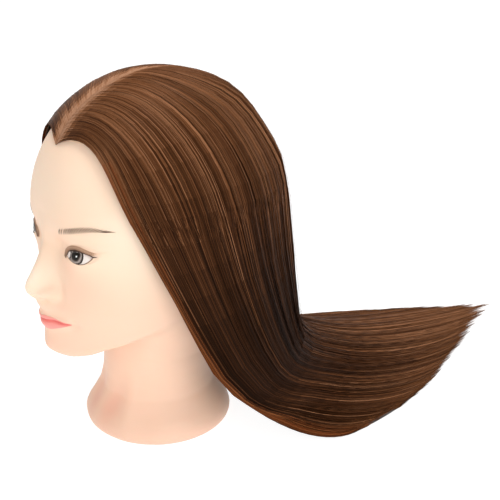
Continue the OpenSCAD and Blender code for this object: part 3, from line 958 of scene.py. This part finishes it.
def tail_path(share, depth, side, reach):
    """From the swing height, round onto the table and on towards the tips."""
    u = np.linspace(0, 1, TAIL_STEPS + 1)[None, 1:] ** 0.9 * reach[:, None]
    t = u[..., None]
    s = share[:, FALL_END:]
    d = depth[:, FALL_END:]
    z0 = leave_height(share[:, FALL_END - 1:FALL_END]) + 0 * s
    _, sheet = sheet_thickness(z0)
    start = fall_point(z0, s, sheet / 2)
    slope = unit(fall_point(z0, s, 0) - fall_point(z0 + 8, s, 0))
    swoop = z0 * 0.78 / np.maximum(-slope[..., 2], 0.6)
    finish = tip_place(1 - s)
    finish[..., 0] *= np.where(side > 0, 1.0, FAR_NARROWING)[:, None]
    finish[..., 0] += side[:, None] * TIP_LEAN * s
    ahead = [side[:, None] * TIP_LEAN - finish[..., 0], TIP_REACH + 60 - finish[..., 1], 0 * s]
    way = unit(np.stack(ahead, -1))
    pull = 0.35 * np.linalg.norm(finish - start, axis=-1, keepdims=True)
    thick = sheet + (TAIL_TIP_THICKNESS - sheet) * u ** 0.6
    middle = bezier(start, start + slope * swoop[..., None], finish - way * pull, finish, t)
    middle[..., 2] += (0.3 + thick / 2) * np.minimum(1, 3 * u)
    out = unit(np.stack([start[..., 0], start[..., 1], 0 * s], -1))
    lying = smoothstep(1.9 * u)[..., None]
    normal = unit(out * (1 - lying) + np.array([0, 0, 1.0]) * lying)
    p = middle + normal * (thick * (0.5 - d))[..., None]
    p[..., 2] = np.maximum(p[..., 2], 0.7)
    return p, normal


def hair_paths(side, share, depth, reach):
    """Points and outward directions of many hairs; side is 1 for the left and -1 for the right."""
    parts = [dome_path(share, depth), fall_path(share, depth), tail_path(share, depth, side, reach)]
    points = np.concatenate([p for p, _ in parts], axis=1)
    normals = np.concatenate([n for _, n in parts], axis=1)
    # no hair sinks into the face, the ear or the neck
    level = np.minimum(points[..., 2], CROWN_Z)
    turn = np.arctan2(points[..., 0], -points[..., 1])
    steps = np.arange(points.shape[1])[None]
    hanging = (steps >= DOME_STEPS) & (steps < FALL_END)
    skin = head_radius(turn, level) + 1.0
    r = np.hypot(points[..., 0], points[..., 1])
    grow = np.where(hanging & (r < skin), skin / np.maximum(r, 1), 1.0)
    points[..., :2] *= grow[..., None]
    mirror = side[:, None]
    points[..., 0] *= mirror
    normals[..., 0] *= mirror
    return points, normals


one = np.ones((1, HAIR_STEPS))
middle_hair = hair_paths(np.array([1.0]), 0.99 * one, 0 * one, np.array([1.0]))[0][0]
hair_length = np.linalg.norm(np.diff(middle_hair, axis=0), axis=1).sum()
print("longest hair", round(float(hair_length)), "mm")

# %% [markdown]
# ## Hair colours
#
# Dyed human hair is never one brown. Along its length each hair passes through a few tones from near
# black through chestnut to gold, and much of it is painted light: pale at the root, partly the scalp
# showing through and partly a painted sheen; lighter on the crown as a painted sheen where the light
# falls; dark in the fall as painted shade; lighter along the back edge against its shadow; and lighter
# and redder at the tip. The hairs of the front edge are a warm red-brown. Each tone is a plain
# material with a faint warm gloss, so thousands of hairs stay cheap to render.

# %% Hair materials
# hair_gold holds the lightest streaks and the painted sheen on the crown; hair_root the pale roots at the
# parting, partly the scalp showing through and partly a painted sheen
HAIR_TONES = [
    ("hair_0", (0.0075, 0.0022, 0.0007), 0.48), ("hair_1", (0.0135, 0.0042, 0.0015), 0.46),
    ("hair_2", (0.0230, 0.0074, 0.0026), 0.44), ("hair_3", (0.0380, 0.0128, 0.0045), 0.42),
    ("hair_4", (0.0610, 0.0212, 0.0076), 0.40), ("hair_5", (0.0960, 0.0349, 0.0130), 0.40),
    ("hair_6", (0.1550, 0.0595, 0.0233), 0.40), ("hair_gold", (0.2700, 0.1190, 0.0558), 0.42),
    ("hair_root", (0.4000, 0.2093, 0.1209), 0.45), ("hair_red", (0.1700, 0.0465, 0.0140), 0.42),
    ("hair_copper", (0.3000, 0.0977, 0.0316), 0.42), ("hair_tip", (0.1800, 0.0670, 0.0233), 0.48),
]


HAIR_GLOSS = 0.09
HAIR_GLOSS_TINT = (0.85, 0.48, 0.26, 1)


def hair_material(name, colour, roughness):
    material, _, shader = new_material(name)
    shader.inputs["Base Color"].default_value = (*colour, 1)
    set_surface(shader, roughness, HAIR_GLOSS)
    shader.inputs["Specular Tint"].default_value = HAIR_GLOSS_TINT
    return material


HAIR = [hair_material(*tone) for tone in HAIR_TONES]
TONE = {tone[0][5:]: i for i, tone in enumerate(HAIR_TONES)}


# the shaded hair below the outer strands: dark, with fine streaks along its length
HAIR_UNDER = ramp_material("hair_under", [
    (0.0, (0.008, 0.0028, 0.0010)), (0.5, (0.050, 0.0190, 0.0070)), (1.0, (0.40, 0.225, 0.13))], 0.5, 0.5)
print("hair tones", list(TONE))


# %% [markdown]
# ## Hair under the surface
#
# Real hair is so dense that no light comes through. Filling the sheet with hairs would cost millions
# of faces, so a closed dark sheet lies a few millimetres down and the fine hairs go over it. It runs in
# one piece down past the nape and along the tail, where the real hair is loose.

# %% Hair under the surface
def streaks(position, seed, octaves=((37, 0.5), (91, 0.3), (211, 0.2))):
    """A smooth random tone across the sheet, from 0 to 1."""
    noise = np.random.default_rng(seed)
    total = np.zeros_like(position)
    for count, weight in octaves:
        knots = noise.uniform(0, 1, count + 1)
        total += weight * np.interp(position, np.linspace(0, 1, count + 1), knots)
    return total


def from_root(points):
    """How far along its hair each point lies, in millimetres."""
    way = np.linalg.norm(np.diff(points, axis=1), axis=-1)
    return np.pad(np.cumsum(way, axis=1), ((0, 0), (1, 0)))


MASS_DEPTHS = (0.32, 0.93)  # how deep its two faces lie in the sheet
MASS_REACH = 0.90           # it ends short of the tips


def make_hair_mass(side, label):
    """A closed sheet that carries the strands, a few millimetres below their surface."""
    count = 150
    share = np.broadcast_to(np.linspace(0.004, 0.999, count)[:, None], (count, HAIR_STEPS)).copy()
    sides = np.full(count, float(side))
    reach = np.full(count, MASS_REACH)
    sheets = []
    for deep in MASS_DEPTHS:
        sheets.append(hair_paths(sides, share, np.full((count, HAIR_STEPS), deep), reach)[0])
    n = count * HAIR_STEPS
    outer = grid_faces(count, HAIR_STEPS)
    i, j = np.arange(HAIR_STEPS), np.arange(count)
    lines = [i[::-1], (count - 1) * HAIR_STEPS + i, j * HAIR_STEPS, j[::-1] * HAIR_STEPS + HAIR_STEPS - 1]
    faces = np.concatenate([outer, outer[:, ::-1] + n] + [rim_faces(line, n) for line in lines])
    if side > 0:
        faces = faces[:, ::-1]
    piece = make_object(f"hair_mass_{label}", np.concatenate(sheets), faces, [HAIR_UNDER])
    # painted shade: the streaks fade and the sheet darkens low in the fall and along the table
    low_down = smoothstep(1.6 - np.abs(PLACE - 2.0))[None]
    tone = streaks(np.linspace(0, 1, count), 5 + side)[:, None] * 0.45 * (1 - 0.7 * low_down)
    tone = np.maximum(tone, smoothstep(1.25 - from_root(sheets[0]) / 9)).ravel()
    store_shade(piece, np.concatenate([tone, tone * 0.3]))
    return piece


def finish_hair(piece, nodes=()):
    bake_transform(piece)
    if nodes:
        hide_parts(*nodes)
    print(piece.name, len(piece.data.polygons), "faces")


for side, label in ((1, "left"), (-1, "right")):
    finish_hair(make_hair_mass(side, label), [f"hair_side_{label}", f"tail_{label}"])

# %% [markdown]
# ## Strands
#
# The hairs are laid in layers: broad locks inside, finer ones outside, flat glossy ribbons that tilt
# either way on top, a few stray hairs, and a warm red edge at the front. A ribbon with a low ridge
# catches the light like a round hair but needs only two faces a step. At the tips they draw together
# into locks of unequal length, as cut hair does.

# %% Tone and locks
def tone_with_painted_light(share, place_along):
    """How light the hair is painted, from 0 to 7, by its place in the sheet and along its length: mostly
    painted light and shade.
    """
    # along the length: a painted sheen on the crown, painted shade darkest low in the fall, lighter again
    # towards the tips
    crown = np.interp(place_along, [0, 0.04, 0.13, 0.27, 0.57, 0.94, 1.27, 1.6, 2.05, 2.25, 2.53, 2.83, 3.0],
                      [5.5, 5.3, 5.4, 5.5, 4.8, 3.6, 2.7, 1.5, 1.0, 2.5, 3.9, 4.5, 4.5])
    # across the sheet: the back edge is painted lighter against its shadow, and the front edge darker near
    # the roots
    back = np.interp(share, [0, 0.03, 0.12, 0.35, 0.6, 0.8, 0.92, 1.0],
                     [1.2, 0.7, -0.1, -0.1, 0.7, 2.2, 3.6, 4.0])
    front = 1.3 * smoothstep(1 - share / 0.14) - 0.5 * bump(share - 0.45, 0.25)
    back = back * (1 - 0.65 * smoothstep((place_along - 1.2) / 1.2))
    return crown + back * smoothstep((place_along - 0.2) / 0.6) - front * smoothstep(1 - place_along * 1.5)


LOCKS = 58
LOCK_PULL = 0.6


def gather(base, share, seed=77):
    """Near the tips the hairs draw together into locks of unequal length."""
    noise = np.random.default_rng(seed)
    length = noise.uniform(-0.055, 0.018, LOCKS + 1)
    lock = np.clip(base * LOCKS + 0.35 * np.sin(base * 400), 0, LOCKS).astype(int)
    pull = LOCK_PULL * smoothstep((PLACE - 2.62) / 0.38)[None]
    middle = (lock[:, None] + 0.5) / LOCKS
    return share + (middle - share) * pull, length[lock]


# %% Ribbons
# how far a hair strays to the side on its way, as a share of the sheet
WAVE, DRIFT = 0.0022, 0.003
RIDGE = 0.75      # height of the ridge, as a share of half the width
MOST_TILT = 0.7   # of a flat ribbon, in radians
STREAK = 2.6      # tones between the darkest and the lightest lock
# level of the pale roots, partly the scalp showing through and partly a painted sheen
ROOT_SHEEN_LEVEL = 8.0
PALE_TIPS = 0.45  # share of the hairs whose tips are bleached


def lay_courses(noise, base, share_range, depth_range, tip_range, stray):
    """Where each hair runs: its share and depth at every step, and its reach."""
    count = len(base)
    steps = np.arange(HAIR_STEPS)[None] / (HAIR_STEPS - 1)
    turns = noise.uniform(2, 7, (count, 1))
    wave = noise.normal(0, 1, (count, 1)) * np.sin(steps * turns + noise.uniform(0, 6, (count, 1)))
    drift = noise.normal(0, 1, (count, 1)) * steps
    share = base[:, None] + (WAVE * wave + DRIFT * drift) * (1 + 3 * stray)
    share, lock_length = gather(base, share)
    share = np.clip(share, share_range[0] * 0.5 + 0.0005, 0.9995)
    deep = noise.uniform(*depth_range, (count, 1))
    lift = noise.normal(0, 0.018, (count, 1)) * np.sin(steps * noise.uniform(3, 9, (count, 1)))
    loose = stray * 0.12 * noise.uniform(0, 1, (count, 1)) * smoothstep(steps * 2)
    depth = np.clip(deep + lift - loose, -0.34, 0.98)
    reach = noise.uniform(*tip_range, count) + lock_length - 0.05 * noise.uniform(0, 1, count) ** 3
    return share, depth, reach


def widen(noise, points, normals, width, flat):
    """Turns each line of points into a ribbon: two points a step when flat, three with a ridge."""
    count = len(points)
    along = unit(np.gradient(points, axis=1))
    across = unit(np.cross(along, normals))
    out = np.cross(across, along)
    taper = np.interp(PLACE, [0, 0.05, 2.5, 2.85, 3.0], [0.6, 1, 1, 0.7, 0.08])
    half = (width * noise.uniform(0.7, 1.3, (count, 1)) / 2 * taper)[..., None]
    if flat:
        tilt = noise.uniform(-MOST_TILT, MOST_TILT, (count, 1, 1))
        half = half * (across * np.cos(tilt) + out * np.sin(tilt))
        ring = np.stack([points - half, points + half], axis=2)
    else:
        ridge = points + out * half * RIDGE
        ring = np.stack([points - across * half, ridge, points + across * half], axis=2)
    ring[..., 2] = np.maximum(ring[..., 2], 0.3)
    return ring


def choose_tones(noise, base, points, side, lighter, scatter, red):
    """The tone of each hair at each step: the painted light and shade of its place and its own lightness all
    the way, but pale at the root, partly as a painted sheen.
    """
    count = len(base)
    ahead = PLACE[None, :-1]
    own = (streaks(base, 500 + side, ((60, 0.12), (230, 0.53), (430, 0.35))) - 0.5) * STREAK
    own = own + noise.normal(0, scatter, count)
    level = tone_with_painted_light(base[:, None], ahead) + lighter + own[:, None]
    # the roots are pale for a few millimetres: partly the scalp showing through, partly a painted sheen
    pale_root_sheen_reach = noise.uniform(6, 19, (count, 1)) * (1 - 0.45 * base[:, None])
    pale_root_sheen = smoothstep(1.15 - from_root(points)[:, :-1] / pale_root_sheen_reach)
    level = level + pale_root_sheen * (ROOT_SHEEN_LEVEL + noise.normal(0, 0.5, (count, 1)) - level)
    slots = np.floor(level + noise.uniform(0, 1, (count, 1)))
    slots = np.clip(slots, 0, np.where(pale_root_sheen > 0.3, TONE["root"], TONE["gold"])).astype(int)
    tipped = (ahead > noise.uniform(2.6, 3.1, (count, 1))) & (noise.uniform(0, 1, (count, 1)) < PALE_TIPS)
    slots = np.where(tipped, TONE["tip"], slots)
    chance = noise.uniform(0, 1, (count, 1))
    copper = (chance < red * 0.4) & (ahead > 1.0)
    return np.where((chance < red) & (ahead > 0.5), np.where(copper, TONE["copper"], TONE["red"]), slots)


def make_strands(name, side, count, share_range, depth_range, width, seed, lighter=0.0, scatter=0.8,
                 tip_range=(0.96, 1.005), stray=0.0, red=0.0, flat=False):
    """Many tapering strands in one piece."""
    noise = np.random.default_rng(seed)
    base = np.sort(noise.uniform(*share_range, count))
    share, depth, reach = lay_courses(noise, base, share_range, depth_range, tip_range, stray)
    points, normals = hair_paths(np.full(count, float(side)), share, depth, reach)
    ring = widen(noise, points, normals, width, flat)
    wide = ring.shape[2]
    k = np.arange(count)[:, None, None] * HAIR_STEPS * wide
    j = np.arange(HAIR_STEPS - 1)[None, :, None] * wide
    c = np.arange(wide - 1)[None, None]
    faces = k + j + c + np.array([0, 1, wide + 1, wide])[:, None, None, None]
    faces = np.moveaxis(faces, 0, -1)
    slots = choose_tones(noise, base, points, side, lighter, scatter, red)
    slots = np.broadcast_to(slots[..., None], faces.shape[:3])
    return make_object(name, ring, faces.reshape(-1, 4), HAIR, slots=slots.reshape(-1))


# %% Layers of strands
REPLACED = {
    "hair_outer_left": ["hair_top_left", "hair_back_left"], "hair_inner_left": ["hair_nape"],
    "hair_outer_right": ["hair_top_right", "hair_back_right"], "hair_inner_right": ["tail_nape"],
    "hair_top_gloss_left": ["tail_centre"],
}
# name, number of hairs, share of the sheet, depth, width, and the other choices
# the inner and outer locks are painted darker (a negative lighter), as shade deep in the hair
LAYERS = [
    ("hair_inner", 900, (0.004, 0.999), (0.25, 0.95), 1.5,
     dict(lighter=-0.9, scatter=0.5, tip_range=(0.80, 1.0))),
    ("hair_outer", 1400, (0.004, 0.999), (0.0, 0.30), 0.8, dict(lighter=-0.3, scatter=0.6)),
    ("hair_top_gloss", 2700, (0.02, 0.999), (-0.01, 0.14), 0.5,
     dict(lighter=0.0, scatter=1.3, stray=0.2, flat=True)),
    ("hair_fine", 2700, (0.004, 0.999), (-0.03, 0.06), 0.42,
     dict(lighter=0.0, scatter=1.7, stray=0.4, flat=True, tip_range=(0.94, 1.02))),
    ("hair_stray", 60, (0.01, 0.999), (-0.22, -0.04), 0.2,
     dict(lighter=0.8, scatter=1.0, stray=1.0, flat=True, tip_range=(0.97, 1.05))),
    ("hair_edge", 700, (0.0, 0.035), (-0.04, 0.8), 0.42, dict(lighter=0.5, stray=0.2, red=0.9, flat=True)),
]
for side, label in ((1, "left"), (-1, "right")):
    for number, (name, count, shares, depths, width, choices) in enumerate(LAYERS):
        full_name, seed = f"{name}_{label}", 21 + 10 * number + side
        piece = make_strands(full_name, side, count, shares, depths, width, seed, **choices)
        finish_hair(piece, REPLACED.get(full_name, ()))

# %% [markdown]
# ## Scalp
#
# The scalp shows only in the parting. It is a lighter vinyl, pierced for the roots. It is a closed
# cap that lies on the head's own skin up to the hairline, so it can't stand off anywhere.

# %% Scalp
SCALP = paint_material("scalp_vinyl", (0.62, 0.40, 0.24), (0.80, 0.56, 0.38), scale=160.0, roughness=0.5)
# angle from the nose and height of the cap's lower edge
HAIRLINE = np.array([[0, 238], [24, 239], [34, 234], [50, 212], [75, 192], [95, 188], [115, 168],
                     [140, 132], [180, 110]])


def make_scalp():
    cols, rows = 96, 40
    turns = np.linspace(-math.pi, math.pi, cols + 1)[:-1]
    hairline = np.interp(np.abs(np.degrees(turns)), HAIRLINE[:, 0], HAIRLINE[:, 1])
    t = np.linspace(0, 1, rows)[:, None]
    h = hairline + (CROWN_Z + 88 - hairline) * t
    skin = head_radius(turns, h)
    outer = place(turns, h, skin + 0.25 + 0.5 * smoothstep(t * 12))
    inner = place(turns, h, skin - 0.8)
    grid = np.concatenate([inner[::-1], outer])
    return make_object("scalp", grid, grid_faces(len(grid), cols, closed=True), [SCALP])


finish_piece(make_scalp(), "head", ["scalp_cap"])

# %% [markdown]
# ## Plastic, foam and glue
#
# These pieces keep the frame's own shape, because it is exact. They only get a better finish: a
# moulded plate and socket under the neck, cut foam inside, and the brushed glue on the roots.

# %% Finishes of the frame's own pieces
def moulded_material(name, colour, second, roughness, grain, strength):
    material = paint_material(name, colour, second, scale=60.0, roughness=roughness)
    tree = material.node_tree
    add_relief(tree, tree.nodes["Principled BSDF"], grain, 4.0, strength, 0.0006)
    return material


# frame node, material, two colours, roughness, grain and depth of the surface
FRAME_FINISHES = [
    ("neck_base_plate", "base_plastic", (0.74, 0.66, 0.54), (0.80, 0.73, 0.62), 0.5, 700.0, 0.12),
    ("clamp_socket", "socket_plastic", (0.78, 0.76, 0.72), (0.84, 0.83, 0.80), 0.32, 400.0, 0.05),
    ("foam_core", "rigid_foam", (0.66, 0.55, 0.32), (0.78, 0.68, 0.45), 0.9, 500.0, 0.7),
    ("root_lock_layer", "root_glue", (0.55, 0.42, 0.22), (0.66, 0.54, 0.32), 0.35, 120.0, 0.4),
]
for name, *finish in FRAME_FINISHES:
    data = bpy.data.objects[name].data
    data.materials.clear()
    data.materials.append(moulded_material(*finish))
    print(name, "finished as", finish[0])
